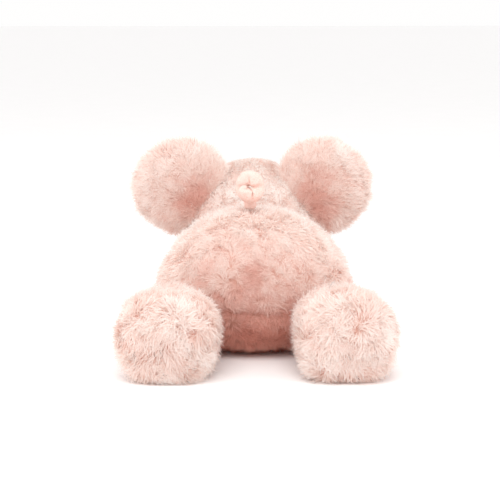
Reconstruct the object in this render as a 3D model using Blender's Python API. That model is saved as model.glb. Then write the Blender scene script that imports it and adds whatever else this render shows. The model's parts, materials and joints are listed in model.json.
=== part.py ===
"""A plush mouse that lies on its belly, built as it is sewn: skin panels over loose fillings.

Every stuffed part (body, head, ear, leg, arm) starts from one egg-shaped envelope. Its skin panels
are the outer layer of that envelope, parted at the seams, and its filling is what the skin holds. In
the body and the limbs a pouch of plastic beans lies in a hollow of the filling. The mouse looks
along -Y, +Z is up, and the origin is on the floor under the middle of the whole toy. All lengths
are in metres.
"""

import math
from dataclasses import dataclass, replace

import bpy
import bmesh
from mathutils import Matrix, Vector
from mathutils.bvhtree import BVHTree

MM = 0.001
SIDES = (("left", 1), ("right", -1))

# Fabric and fit
FUR_SKIN = 5.0 * MM  # long-pile fur cloth with its pile pressed down
SHORT_SKIN = 3.5 * MM  # short-pile cloth of the head
LINING_SKIN = 2.2 * MM  # velour inside the ears
GAP = 0.3 * MM  # between two pieces that touch
SEAM = 0.2 * MM  # half of the gap between two panels at their seam
JOINT_CLEARANCE = 2.2 * MM  # round a limb, an ear or the head, over its whole swing

# Body, from the side seams down to the belly
BODY_CENTRE = Vector((0, 26, 42)) * MM
BODY_HALF_WIDTH = 74 * MM
BODY_REAR = 62 * MM
BODY_FRONT = 80 * MM
BODY_UP = 61 * MM
BODY_DOWN = 50 * MM
BODY_FULLNESS = 2.4
BODY_CREST = 0.2  # how much narrower the back is than the hips
BELLY_SEAM_HEIGHT = 34 * MM
BODY_POUCH_CENTRE = Vector((0, 26, 8)) * MM
BODY_POUCH_HALF_WIDTH = 32 * MM
BODY_POUCH_REACH = 30 * MM
BODY_POUCH_HALF_HEIGHT = 12 * MM

# Head, with a snout that narrows and droops towards the nose
HEAD_CENTRE = Vector((0, -86, 60)) * MM
HEAD_HALF_WIDTH = 61 * MM
HEAD_REAR = 55 * MM
HEAD_FRONT = 71 * MM
HEAD_UP = 70 * MM
HEAD_DOWN = 46 * MM
SNOUT_PINCH = 0.36
SNOUT_DROOP = 13 * MM
GUSSET_HALF_WIDTH = 22 * MM
CHIN_SEAM_HEIGHT = 46 * MM
NECK_PIVOT = Vector((0, -46, 56)) * MM
HEAD_NOD = (-2, 20)  # degrees, down and up

# Ears: round, standing up from the sides of the head
EAR_CENTRE = Vector((57, -66, 110)) * MM
EAR_RADIUS = 37.5 * MM
EAR_BACK = 13 * MM
EAR_FRONT = 7 * MM
EAR_RIM = 3.2 * MM  # of the wadding inside the outline
EAR_PIVOT = Vector((46, -66, 99)) * MM
EAR_HINGE = Vector((0.562, 0, -0.827))  # along the root of the left ear
EAR_FOLD = (-22, 22)  # degrees, back and forth

# Eyes and nose
EYE_RADIUS = 5.5 * MM
EYE_HEIGHT = 4.5 * MM
EYE_AIM = Vector((36, -44, 17))  # direction from the middle of the head
SHANK_RADIUS = 1.8 * MM
SHANK_LENGTH = 10 * MM
SHANK_OVERLAP = 1 * MM  # with the dome that it holds
WASHER_UNDER_SKIN = 1.2 * MM
WASHER_RADIUS = 6.5 * MM
WASHER_THICKNESS = 1.6 * MM
NOSE_SIZE = Vector((7.5, 4.5, 5.5)) * MM
NOSE_LIFT = 3 * MM  # over the tip of the snout

# Legs: lie behind the body with the soles facing back
LEG_CENTRE = Vector((61.5, 133.6, 31)) * MM
LEG_HALF_WIDTH = 36 * MM
LEG_REAR = 28 * MM
LEG_FRONT = 72 * MM
LEG_UP = 30 * MM
LEG_DOWN = 44 * MM
LEG_FULLNESS = 2.25
LEG_YAW = 4  # degrees, toes out
SOLE_DEPTH = 11 * MM  # of the sole's dome behind its seam
HIP_PIVOT = Vector((56, 72, 30)) * MM
HIP_SWING = (-6, 28)  # degrees, in and out
LEG_POUCH_HALF_WIDTH = 22 * MM
LEG_POUCH_HALF_DEPTH = 9 * MM
LEG_POUCH_HALF_HEIGHT = 20 * MM
LEG_POUCH_INSET = 6 * MM  # of its middle, inside the skin of the sole

# Arms: lie forward beside the chin
ARM_CENTRE = Vector((61.5, -118, 16)) * MM
ARM_HALF_WIDTH = 16.5 * MM
ARM_FRONT = 38 * MM
ARM_REAR = 78 * MM
ARM_UP = 18 * MM
ARM_DOWN = 22 * MM
ARM_FULLNESS = 2.2
ARM_YAW = 6  # degrees, paws out
SHOULDER_PIVOT = Vector((54, -50, 17)) * MM
SHOULDER_SWING = (-1, 35)  # degrees, in and out
PAW_DEPTH = 12 * MM  # of the paw in front of its seam
ARM_POUCH_HALF_WIDTH = 9 * MM
ARM_POUCH_RADIUS = 8 * MM
ARM_POUCH_INSET = 7 * MM
ARM_POUCH_DROP = 2 * MM

# Tail: one corkscrew turn of rolled velour
TAIL_ROOT = Vector((3, 30, 108.2)) * MM
TAIL_RADIUS = 4.7 * MM
TAIL_ROOT_SHARE = 0.64  # of the radius, where the two ends are drawn in
TAIL_ROOT_DEPTH = 3.5 * MM  # inside the fur cloth
TAIL_COIL_HALF_WIDTH = 6.4 * MM
TAIL_COIL_HALF_HEIGHT = 8.2 * MM
TAIL_COIL_LIFT = 12.2 * MM  # of the coil's middle over the root
TAIL_TURNS = 1.3
TAIL_ADVANCE = 13 * MM  # towards the rear, over the whole coil
TAIL_CURL = 0.35  # how much the coil shrinks towards its end
TAIL_CURL_START = 0.6  # share of the coil before it shrinks
TAIL_POINTS = 22

SWING_STEPS = 4  # angles that shape the room for a limb
BODY_MESH = {"segments": 24, "rings": 12}
EAR_MESH = {"segments": 24, "rings": 7}
POUCH_MESH = {"segments": 14, "rings": 8}
SHARP = math.radians(40)
CUTTER_REACH = 0.4  # longer than the toy, so that a cutter always runs past it


def clear_scene():
    for item in list(bpy.data.objects):
        bpy.data.objects.remove(item)


def new_collection(name):
    made = bpy.data.collections.new(name)
    bpy.context.scene.collection.children.link(made)
    return made


clear_scene()
PARTS = new_collection("plush_mouse")
CUTTERS = new_collection("cutters")
CUTTERS.hide_render = True


def cloth(name, colour, roughness):
    made = bpy.data.materials.new(name)
    made.use_nodes = True
    shader = made.node_tree.nodes["Principled BSDF"]
    shader.inputs["Base Color"].default_value = (*colour, 1)
    shader.inputs["Roughness"].default_value = roughness
    shader.inputs["Metallic"].default_value = 0
    return made


LONG_FUR = cloth("long_pile_fur", (0.84, 0.62, 0.55), 0.95)
SHORT_FUR = cloth("short_pile_fur", (0.80, 0.55, 0.48), 0.92)
VELOUR = cloth("velour", (0.84, 0.57, 0.50), 0.85)
FILLING = cloth("polyester_filling", (0.85, 0.85, 0.83), 0.95)
POUCH_CLOTH = cloth("pouch_cloth", (0.70, 0.70, 0.68), 0.9)
EYE_PLASTIC = cloth("eye_plastic", (0.01, 0.008, 0.007), 0.12)
WASHER_PLASTIC = cloth("washer_plastic", (0.75, 0.75, 0.73), 0.6)
NOSE_VELOUR = cloth("nose_velour", (0.62, 0.28, 0.26), 0.85)


def pivot(name, position, parent=None):
    """An empty on a joint's axis. What moves with the joint hangs from it."""
    made = bpy.data.objects.new(name, None)
    made.empty_display_size = 0.02
    PARTS.objects.link(made)
    made.parent = parent
    made.location = position - (world_place(parent) if parent else Vector())
    return made


def world_place(item):
    """Where an unturned item stands, from its own location and those of its parents."""
    place = Vector()
    while item:
        place += item.location
        item = item.parent
    return place


def add_part(name, mesh, material, centre, holder, yaw=0.0):
    made = bpy.data.objects.new(name, mesh)
    mesh.materials.append(material)
    mesh.shade_smooth()
    PARTS.objects.link(made)
    made.parent = holder
    made.location = centre - world_place(holder)
    made.rotation_euler.z = yaw
    return made


def add_cutter(name, mesh, place):
    """A helper that shapes parts and is no part itself."""
    made = bpy.data.objects.new(name, mesh)
    CUTTERS.objects.link(made)
    made.matrix_world = place
    made.hide_render = True
    made.display_type = "WIRE"
    return made


def cut(part, operation, *cutters):
    for cutter in cutters:
        modifier = part.modifiers.new(cutter.name, "BOOLEAN")
        modifier.operation = operation
        modifier.solver = "EXACT"
        modifier.object = cutter


def mesh_from(name, build):
    """A mesh that build(bm) fills, with its faces turned outwards."""
    bm = bmesh.new()
    build(bm)
    bmesh.ops.recalc_face_normals(bm, faces=bm.faces)
    mesh = bpy.data.meshes.new(name)
    bm.to_mesh(mesh)
    bm.free()
    return mesh


def press_flat(bm, height):
    """Cuts off what lies under this height and closes the shape with a flat face."""
    everything = [*bm.verts, *bm.edges, *bm.faces]
    level = Vector((0, 0, height))
    under = Vector((0, 0, -1))
    bmesh.ops.bisect_plane(bm, geom=everything, plane_co=level, plane_no=under, clear_outer=True)
    rim = [edge for edge in bm.edges if edge.is_boundary]
    if rim:
        bmesh.ops.edgeloop_fill(bm, edges=rim)


@dataclass
class Egg:
    """An envelope with its own reach in each direction from its centre."""

    centre: Vector
    width: float
    rear: float
    front: float
    up: float
    down: float
    fullness: float = 2.0  # 2 is an ellipse, and more is boxier
    pinch: float = 0.0  # how much narrower the front end is
    droop: float = 0.0  # how far the front end hangs down
    crest: float = 0.0  # how much narrower the top is
    yaw: float = 0.0

    def inner(self, depth):
        """The same egg with its surface moved inwards, or outwards for a negative depth."""
        return replace(
            self,
            width=self.width - depth,
            rear=self.rear - depth,
            front=self.front - depth,
            up=self.up - depth,
            down=self.down - depth,
        )

    def place(self):
        return Matrix.Translation(self.centre) @ Matrix.Rotation(self.yaw, 4, "Z")

    def shaped(self, point):
        """Where a point of the unit ball lies on the egg, seen from the egg's centre."""
        full = sum(abs(value) ** self.fullness for value in point) ** (1 / self.fullness)
        x, y, z = point / full
        forward = max(0.0, -y)
        y *= self.front if y < 0 else self.rear
        x *= self.width * (1 - self.pinch * forward**2) * (1 - self.crest * max(0.0, z))
        z *= (self.up if z > 0 else self.down) * (1 - self.pinch * forward**2)
        return Vector((x, y, z - self.droop * forward**2))

    def mesh(self, name, floor=None, segments=18, rings=10):
        """The egg as a closed mesh. floor is the world height under which it is pressed flat."""
        lowest = None if floor is None else floor - self.centre.z

        def build(bm):
            turn = Matrix.Rotation(math.pi / 2, 4, "X")
            bmesh.ops.create_uvsphere(bm, u_segments=segments, v_segments=rings, radius=1, matrix=turn)
            for vertex in bm.verts:
                vertex.co = self.shaped(vertex.co)
            if lowest is not None:
                press_flat(bm, lowest)

        return mesh_from(name, build)


def block(name, low, high, place=Matrix()):
    """A box-shaped cutter from its low to its high corner."""

    def build(bm):
        bmesh.ops.create_cube(bm, size=1)
        for vertex in bm.verts:
            vertex.co = Vector([(a + b) / 2 + c * (b - a) for a, b, c in zip(low, high, vertex.co)])

    return add_cutter(name, mesh_from(name, build), place)


def side_of(name, axis, at, sign, place=Matrix()):
    """A cutter that holds everything past a plane, on the plane's positive or negative side."""
    low = [-CUTTER_REACH] * 3
    high = [CUTTER_REACH] * 3
    (low if sign > 0 else high)[axis] = at + sign * SEAM
    return block(name, low, high, place)


def egg_cutter(name, egg, floor=None, segments=18, rings=10):
    return add_cutter(name, egg.mesh(name, floor, segments, rings), egg.place())


def swept_cutter(name, egg, pivot_at, axis, degrees):
    """The room that a limb takes up over its whole swing, with its clearance, as one convex cutter."""
    loose = egg.inner(-JOINT_CLEARANCE).mesh(name, segments=12, rings=8)

    def build(bm):
        for step in range(SWING_STEPS):
            angle = degrees[0] + (degrees[1] - degrees[0]) * step / (SWING_STEPS - 1)
            turn = Matrix.Rotation(math.radians(angle), 4, axis)
            swing = Matrix.Translation(pivot_at) @ turn @ Matrix.Translation(-pivot_at) @ egg.place()
            for vertex in loose.vertices:
                bm.verts.new(swing @ vertex.co)
        hull = bmesh.ops.convex_hull(bm, input=bm.verts)
        spare = {item for item in hull["geom_interior"] if isinstance(item, bmesh.types.BMVert)}
        bmesh.ops.delete(bm, geom=list(spare), context="VERTS")

    return add_cutter(name, mesh_from(name, build), Matrix())


def mirrored(point, side):
    return Vector((point.x * side, point.y, point.z))


def round_bar(name, radius, length, sides):
    """A round bar along its own Z, from its foot up."""

    def build(bm):
        lift = Matrix.Translation((0, 0, length / 2))
        size = {"radius1": radius, "radius2": radius, "depth": length}
        bmesh.ops.create_cone(bm, cap_ends=True, segments=sides, matrix=lift, **size)

    return mesh_from(name, build)


def rod(name, radius, length, place):
    return add_cutter(name, round_bar(name, radius, length, sides=14), place)


def tail_curve_points():
    """The tail's middle line: up from the root, once round, and in towards the middle of the coil."""
    points = [Vector((0, 0, -TAIL_ROOT_DEPTH)), Vector((0, 0, 0))]
    for step in range(TAIL_POINTS):
        share = step / (TAIL_POINTS - 1)
        angle = -math.pi / 2 - share * TAIL_TURNS * 2 * math.pi
        curl = max(0.0, share - TAIL_CURL_START) / (1 - TAIL_CURL_START)
        size = 1 - TAIL_CURL * curl
        x = -TAIL_COIL_HALF_WIDTH * size * math.cos(angle)
        z = TAIL_COIL_LIFT + TAIL_COIL_HALF_HEIGHT * size * math.sin(angle)
        points.append(Vector((x, share * TAIL_ADVANCE, z)))
    return points


def make_tail(holder):
    curve = bpy.data.curves.new("tail", "CURVE")
    curve.dimensions = "3D"
    curve.bevel_depth = TAIL_RADIUS
    curve.bevel_resolution = 2
    curve.use_fill_caps = True
    points = tail_curve_points()
    spline = curve.splines.new("POLY")
    spline.points.add(len(points) - 1)
    for number, point in enumerate(points):
        spline.points[number].co = (*point, 1)
        spline.points[number].radius = TAIL_ROOT_SHARE if number in (0, len(points) - 1) else 1.0
    made = bpy.data.objects.new("tail", curve)
    curve.materials.append(VELOUR)
    PARTS.objects.link(made)
    made.parent = holder
    made.location = TAIL_ROOT - world_place(holder)


def skin(name, egg, depth, material, holder, regions, hollows=(), segments=18, rings=10, floor=0.0):
    """One panel: the outer layer of an egg, kept inside its regions, with the hollows cut out."""
    part = add_part(name, egg.mesh(name, floor, segments, rings), material, egg.centre, holder, egg.yaw)
    cut(part, "INTERSECT", *regions)
    cut(part, "DIFFERENCE", depth, *hollows)
    return part


def filling(name, egg, holder, hollows=(), segments=18, rings=10, floor=FUR_SKIN + GAP):
    part = add_part(name, egg.mesh(name, floor, segments, rings), FILLING, egg.centre, holder, egg.yaw)
    cut(part, "DIFFERENCE", *hollows)
    return part


def bean_pouch(name, egg, envelope, holder):
    """A flat pouch that lies against the skin, trimmed to the room inside it."""
    part = add_part(name, egg.mesh(name, **POUCH_MESH), POUCH_CLOTH, egg.centre, holder, egg.yaw)
    cut(part, "INTERSECT", envelope)
    return egg_cutter(name + "_room", egg.inner(-GAP), **POUCH_MESH)


BODY = Egg(
    BODY_CENTRE,
    BODY_HALF_WIDTH,
    BODY_REAR,
    BODY_FRONT,
    BODY_UP,
    BODY_DOWN,
    fullness=BODY_FULLNESS,
    crest=BODY_CREST,
)
HEAD = Egg(
    HEAD_CENTRE,
    HEAD_HALF_WIDTH,
    HEAD_REAR,
    HEAD_FRONT,
    HEAD_UP,
    HEAD_DOWN,
    pinch=SNOUT_PINCH,
    droop=SNOUT_DROOP,
)


def leg_egg(side):
    return Egg(
        mirrored(LEG_CENTRE, side),
        LEG_HALF_WIDTH,
        LEG_REAR,
        LEG_FRONT,
        LEG_UP,
        LEG_DOWN,
        fullness=LEG_FULLNESS,
        yaw=math.radians(-LEG_YAW * side),
    )


def arm_egg(side):
    return Egg(
        mirrored(ARM_CENTRE, side),
        ARM_HALF_WIDTH,
        ARM_REAR,
        ARM_FRONT,
        ARM_UP,
        ARM_DOWN,
        fullness=ARM_FULLNESS,
        yaw=math.radians(ARM_YAW * side),
    )


def make_body(holder):
    neck = swept_cutter("neck_room", HEAD, NECK_PIVOT, "X", [-angle for angle in HEAD_NOD])
    sockets = {}
    for word, side in SIDES:
        hip = mirrored(HIP_PIVOT, side)
        shoulder = mirrored(SHOULDER_PIVOT, side)
        leg_swing = [-angle * side for angle in HIP_SWING]
        arm_swing = [angle * side for angle in SHOULDER_SWING]
        sockets[word] = [
            swept_cutter(f"hip_room_{word}", leg_egg(side), hip, "Z", leg_swing),
            swept_cutter(f"shoulder_room_{word}", arm_egg(side), shoulder, "Z", arm_swing),
        ]
    every_socket = [neck, *sockets["left"], *sockets["right"]]
    inside = egg_cutter("body_inside", BODY.inner(FUR_SKIN), FUR_SKIN, **BODY_MESH)
    above = side_of("above_belly_seam", 2, BELLY_SEAM_HEIGHT, 1)
    below = side_of("below_belly_seam", 2, BELLY_SEAM_HEIGHT, -1)
    for word, side in SIDES:
        regions = [side_of(f"back_{word}_of_seam", 0, 0, side), above]
        hollows = [neck, *sockets[word]]
        skin(f"body_back_{word}", BODY, inside, LONG_FUR, holder, regions, hollows, **BODY_MESH)
    skin("belly_panel", BODY, inside, SHORT_FUR, holder, [below], every_socket, **BODY_MESH)
    room_egg = BODY.inner(FUR_SKIN + GAP)
    envelope = egg_cutter("body_room", room_egg, FUR_SKIN + GAP, **BODY_MESH)
    pouch = Egg(
        BODY_POUCH_CENTRE,
        BODY_POUCH_HALF_WIDTH,
        BODY_POUCH_REACH,
        BODY_POUCH_REACH,
        BODY_POUCH_HALF_HEIGHT,
        BODY_POUCH_HALF_HEIGHT,
    )
    pocket = bean_pouch("body_bean_pouch", pouch, envelope, holder)
    filling("body_filling", room_egg, holder, [pocket, *every_socket], **BODY_MESH)


def make_eye(word, side, holder, side_panel, head_filling):
    """A domed plastic eye: its shank goes through the skin and a washer locks it from inside."""
    surface = bmesh.new()
    surface.from_mesh(bpy.data.meshes["head_side_" + word])
    aim = mirrored(EYE_AIM, side).normalized()
    point, normal, _, _ = BVHTree.FromBMesh(surface).ray_cast(Vector(), aim)
    surface.free()
    outward = normal if normal.dot(aim) > 0 else -normal
    place = Matrix.Translation(HEAD.centre + point) @ outward.to_track_quat("Z", "Y").to_matrix().to_4x4()

    def dome(bm):
        bmesh.ops.create_uvsphere(bm, u_segments=14, v_segments=8, radius=EYE_RADIUS)
        for vertex in bm.verts:
            vertex.co.z = max(0, vertex.co.z) * EYE_HEIGHT / EYE_RADIUS + GAP

    def under(depth):
        return place @ Matrix.Translation((0, 0, -depth))

    name = f"eye_{word}"
    eye = add_part(name, mesh_from(name, dome), EYE_PLASTIC, HEAD.centre + point, holder)
    eye.rotation_euler = place.to_euler()
    eye.data.set_sharp_from_angle(angle=SHARP)
    shank_length = SHANK_LENGTH + GAP + SHANK_OVERLAP
    cut(eye, "UNION", rod(f"shank_{word}", SHANK_RADIUS, shank_length, under(SHANK_LENGTH)))
    hole = rod(f"shank_hole_{word}", SHANK_RADIUS + GAP, 4 * SHANK_LENGTH, under(2 * SHANK_LENGTH))
    cut(side_panel, "DIFFERENCE", hole)

    name = f"eye_washer_{word}"
    low = under(SHORT_SKIN + WASHER_UNDER_SKIN + WASHER_THICKNESS)
    disc = round_bar(name, WASHER_RADIUS, WASHER_THICKNESS, sides=16)
    washer = add_part(name, disc, WASHER_PLASTIC, low.to_translation(), holder)
    washer.rotation_euler = low.to_euler()
    washer.data.set_sharp_from_angle(angle=SHARP)
    cut(washer, "DIFFERENCE", hole)
    depth = SHANK_LENGTH + SHANK_OVERLAP
    cut(head_filling, "DIFFERENCE", rod(f"washer_room_{word}", WASHER_RADIUS + GAP, depth, under(depth)))


def make_head(holder):
    inside = egg_cutter("head_inside", HEAD.inner(SHORT_SKIN))
    panels = {}
    for word, side in SIDES:
        beyond = side_of(f"beyond_gusset_{word}", 0, side * GUSSET_HALF_WIDTH, side)
        panels[word] = skin(f"head_side_{word}", HEAD, inside, SHORT_FUR, holder, [beyond], floor=None)
    half = GUSSET_HALF_WIDTH - SEAM
    strip = block("gusset_strip", (-half, -CUTTER_REACH, -CUTTER_REACH), (half, CUTTER_REACH, CUTTER_REACH))
    over = side_of("over_chin_seam", 2, CHIN_SEAM_HEIGHT, 1)
    under = side_of("under_chin_seam", 2, CHIN_SEAM_HEIGHT, -1)
    skin("head_gusset", HEAD, inside, SHORT_FUR, holder, [strip, over], floor=None)
    skin("chin_panel", HEAD, inside, SHORT_FUR, holder, [strip, under], floor=None)
    head_filling = filling("head_filling", HEAD.inner(SHORT_SKIN + GAP), holder, floor=None)
    for word, side in SIDES:
        make_eye(word, side, holder, panels[word], head_filling)
    tip = HEAD.centre + HEAD.shaped(Vector((0, -1, 0)))
    nose_centre = tip + Vector((0, 0, NOSE_LIFT))
    nose_egg = Egg(nose_centre, NOSE_SIZE.x, NOSE_SIZE.y, NOSE_SIZE.y, NOSE_SIZE.z, NOSE_SIZE.z)
    pad = nose_egg.mesh("nose", segments=16, rings=9)
    nose = add_part("nose", pad, NOSE_VELOUR, nose_centre, holder)
    cut(nose, "DIFFERENCE", egg_cutter("nose_seat", HEAD.inner(-GAP)))


def make_ear(word, side, holder):
    centre = mirrored(EAR_CENTRE, side)
    whole = Egg(centre, EAR_RADIUS, EAR_BACK, EAR_FRONT, EAR_RADIUS, EAR_RADIUS)
    room = Egg(
        centre,
        EAR_RADIUS - EAR_RIM,
        EAR_BACK - FUR_SKIN,
        EAR_FRONT - LINING_SKIN,
        EAR_RADIUS - EAR_RIM,
        EAR_RADIUS - EAR_RIM,
    )
    inside = egg_cutter(f"ear_inside_{word}", room, **EAR_MESH)
    behind = side_of(f"behind_ear_seam_{word}", 1, centre.y, 1)
    before = side_of(f"before_ear_seam_{word}", 1, centre.y, -1)
    hinge = mirrored(EAR_HINGE, side)
    root = [swept_cutter(f"ear_root_room_{word}", HEAD, mirrored(EAR_PIVOT, side), hinge, EAR_FOLD)]
    skin(f"ear_back_{word}", whole, inside, LONG_FUR, holder, [behind], root, floor=None, **EAR_MESH)
    skin(f"ear_lining_{word}", whole, inside, VELOUR, holder, [before], root, floor=None, **EAR_MESH)
    filling(f"ear_wadding_{word}", room.inner(GAP), holder, root, floor=None, **EAR_MESH)


def make_limb(kind, word, egg, holder, end_name, end_seam, pouch):
    """A stuffed limb: a sleeve, the panel that closes its far end, the filling and a pouch."""
    inside = egg_cutter(f"{kind}_inside_{word}", egg.inner(FUR_SKIN), FUR_SKIN)
    outwards = 1 if end_seam > 0 else -1
    end_side = side_of(f"{kind}_end_{word}", 1, end_seam, outwards, egg.place())
    sleeve_side = side_of(f"{kind}_sleeve_side_{word}", 1, end_seam, -outwards, egg.place())
    skin(f"{kind}_sleeve_{word}", egg, inside, LONG_FUR, holder, [sleeve_side])
    skin(f"{end_name}_{word}", egg, inside, LONG_FUR, holder, [end_side])
    room_egg = egg.inner(FUR_SKIN + GAP)
    envelope = egg_cutter(f"{kind}_room_{word}", room_egg, FUR_SKIN + GAP)
    pocket = bean_pouch(f"{kind}_bean_pouch_{word}", pouch, envelope, holder)
    filling(f"{kind}_filling_{word}", room_egg, holder, [pocket])


def make_leg(word, side, holder):
    egg = leg_egg(side)
    offset = Matrix.Rotation(egg.yaw, 3, "Z") @ Vector((0, LEG_REAR - FUR_SKIN - LEG_POUCH_INSET, 0))
    pouch = Egg(
        egg.centre + offset,
        LEG_POUCH_HALF_WIDTH,
        LEG_POUCH_HALF_DEPTH,
        LEG_POUCH_HALF_DEPTH,
        LEG_POUCH_HALF_HEIGHT,
        LEG_POUCH_HALF_HEIGHT,
        yaw=egg.yaw,
    )
    make_limb("leg", word, egg, holder, "foot_sole", LEG_REAR - SOLE_DEPTH, pouch)


def make_arm(word, side, holder):
    egg = arm_egg(side)
    reach = ARM_FRONT - FUR_SKIN - ARM_POUCH_INSET
    offset = Matrix.Rotation(egg.yaw, 3, "Z") @ Vector((0, -reach, -ARM_POUCH_DROP))
    pouch = Egg(
        egg.centre + offset,
        ARM_POUCH_HALF_WIDTH,
        ARM_POUCH_RADIUS,
        ARM_POUCH_RADIUS,
        ARM_POUCH_RADIUS,
        ARM_POUCH_RADIUS,
        yaw=egg.yaw,
    )
    make_limb("arm", word, egg, holder, "paw_sole", PAW_DEPTH - ARM_FRONT, pouch)


def main():
    body = pivot("body", Vector())
    make_body(body)
    head = pivot("head", NECK_PIVOT, body)
    make_head(head)
    for word, side in SIDES:
        make_ear(word, side, pivot(f"ear_{word}", mirrored(EAR_PIVOT, side), head))
        make_leg(word, side, pivot(f"leg_{word}", mirrored(HIP_PIVOT, side), body))
        make_arm(word, side, pivot(f"arm_{word}", mirrored(SHOULDER_PIVOT, side), body))
    make_tail(pivot("tail_root", TAIL_ROOT, body))


main()
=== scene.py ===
"""Shows a plush mouse that lies on its belly: stuffed skins under a combed pile, velour and beads.

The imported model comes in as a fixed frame, and each piece here takes its size and place from the
frame's nodes. The mouse looks along -Y, +Z is up, and all lengths are in metres.
"""

import json
import math

import bmesh
import bpy
import numpy as np
from bpy.props import FloatProperty, FloatVectorProperty, IntProperty, PointerProperty
from mathutils import Euler, Matrix, Vector, noise


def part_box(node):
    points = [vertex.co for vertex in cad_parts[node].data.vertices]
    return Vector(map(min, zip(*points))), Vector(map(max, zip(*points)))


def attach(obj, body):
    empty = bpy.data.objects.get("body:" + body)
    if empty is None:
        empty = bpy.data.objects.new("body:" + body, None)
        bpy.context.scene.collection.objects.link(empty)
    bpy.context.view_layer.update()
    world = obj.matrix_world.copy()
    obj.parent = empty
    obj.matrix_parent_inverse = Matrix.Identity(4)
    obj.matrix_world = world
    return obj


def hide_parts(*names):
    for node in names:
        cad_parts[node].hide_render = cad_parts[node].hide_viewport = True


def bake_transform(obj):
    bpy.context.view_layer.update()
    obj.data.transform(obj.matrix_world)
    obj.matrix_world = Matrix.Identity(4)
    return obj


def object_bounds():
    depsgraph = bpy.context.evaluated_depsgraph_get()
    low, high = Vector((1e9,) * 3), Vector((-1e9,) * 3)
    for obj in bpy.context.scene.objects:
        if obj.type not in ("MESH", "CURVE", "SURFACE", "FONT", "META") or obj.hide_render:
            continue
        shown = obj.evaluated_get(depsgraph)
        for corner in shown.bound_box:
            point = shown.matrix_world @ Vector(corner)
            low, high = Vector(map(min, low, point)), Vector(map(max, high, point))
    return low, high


bl_info = {
    "name": "Plush mouse",
    "version": (1, 0, 0),
    "blender": (4, 5, 0),
    "location": "3D View > Sidebar > Plush mouse",
    "description": "A stuffed mouse with a combed pile, round ears and a corkscrew tail",
    "category": "Add Mesh",
}

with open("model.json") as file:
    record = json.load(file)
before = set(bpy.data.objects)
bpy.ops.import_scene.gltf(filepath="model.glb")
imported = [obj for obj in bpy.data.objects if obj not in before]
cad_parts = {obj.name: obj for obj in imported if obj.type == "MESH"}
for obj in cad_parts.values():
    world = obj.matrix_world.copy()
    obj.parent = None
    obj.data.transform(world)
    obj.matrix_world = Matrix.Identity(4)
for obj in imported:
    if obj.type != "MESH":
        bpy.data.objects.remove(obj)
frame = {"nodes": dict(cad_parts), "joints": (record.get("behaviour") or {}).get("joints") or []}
CAD_LOW, CAD_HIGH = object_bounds()

MM = 0.001
SIDES = (("left", 1), ("right", -1))
LEG_YAW = math.radians(-4)
ARM_YAW = math.radians(6)


def linear(code):
    """The linear colour of an sRGB hex value."""
    shares = [int(code[place : place + 2], 16) / 255 for place in (1, 3, 5)]
    return tuple(s / 12.92 if s <= 0.04045 else ((s + 0.055) / 1.055) ** 2.4 for s in shares)


def colour(name, code, description):
    return FloatVectorProperty(
        name=name, description=description, default=linear(code), subtype="COLOR", size=3, min=0, max=1
    )


def amount(name, size, description, **more):
    """A property that can't go below nought."""
    return FloatProperty(name=name, description=description, default=size, min=0, **more)


def length(name, size, description, low=0.1, high=400):
    """A length property. Its size and limits are in millimetres."""
    return FloatProperty(
        name=name,
        description=description,
        default=size * MM,
        min=low * MM,
        max=high * MM,
        unit="LENGTH",
        subtype="DISTANCE",
        precision=5,
    )


class PileSizes(bpy.types.PropertyGroup):
    """How long and how close the pile stands."""

    long_pile: length("Long pile", 10.5, "Pile of the back, the legs and the arms")
    sole_pile: length("Sole pile", 13.5, "Pile of the soles")
    ear_pile: length("Ear pile", 10.5, "Pile of the backs of the ears")
    short_pile: length("Short pile", 3.6, "Pile of the head")
    long_spacing: length("Long spacing", 1.75, "Distance between pinches of long pile")
    sole_spacing: length("Sole spacing", 1.75, "Distance between pinches of the legs' pile")
    short_spacing: length("Short spacing", 1.25, "Distance between pinches of short pile")
    cloth_depth: length("Cloth depth", 4.2, "How far the long pile's cloth lies under the pressed surface")
    short_depth: length("Short cloth depth", 1.8, "The same for the short pile")
    stray: amount(
        "Stray",
        math.radians(26),
        "How far a pinch turns off the combed direction",
        max=math.pi,
        subtype="ANGLE",
    )
    seed: IntProperty(name="Seed", description="Changes where each pinch of pile stands", default=7, min=0)


class Colours(bpy.types.PropertyGroup):
    """The dyes of the cloths, and the beads."""

    # Painted shade: a darker, rosier dye that stands in for the shade under the belly and at the ears'
    # roots
    painted_shade: colour("Pile in hollows", "#dfa190", "Pressed pile of the belly and of the ears' roots")
    root: colour("Pile root", "#e7baaa", "Pile next to its cloth")
    middle: colour("Pile middle", "#f0dfd7", "Pile halfway up")
    tip: colour("Pile tip", "#f6f4f1", "Ends of the pile")
    velour: colour("Velour", "#ecd0c6", "Tail and insides of the ears")
    velour_fold: colour("Velour fold", "#e4b0a1", "Velour that is brushed the other way")
    nose: colour("Nose", "#c98078", "Velour of the nose")
    bead: colour("Bead", "#0b0706", "Eyes")
    floor: colour("Floor", "#fbfafa", "Studio floor")


class Light(bpy.types.PropertyGroup):
    """The studio's lights."""

    sky: amount("Sky", 1.0, "Brightness of the white room", soft_max=3)
    key: amount("Key", 9, "Power of the softbox over the feet", unit="POWER")
    side: amount("Side", 4, "Power of each side softbox", unit="POWER")


class PlushMouse(bpy.types.PropertyGroup):
    """Everything that can be changed on the mouse."""

    pile: PointerProperty(type=PileSizes)
    colours: PointerProperty(type=Colours)
    light: PointerProperty(type=Light)


# Node trees and materials

RAMP = "ShaderNodeValToRGB"
PRINCIPLED = "ShaderNodeBsdfPrincipled"
OUTPUT = "ShaderNodeOutputMaterial"
NOISE = "ShaderNodeTexNoise"
MATH = "ShaderNodeMath"
VECTOR_MATH = "ShaderNodeVectorMath"
RANDOM = "FunctionNodeRandomValue"
READ = "GeometryNodeInputNamedAttribute"
STORE = "GeometryNodeStoreNamedAttribute"

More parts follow.
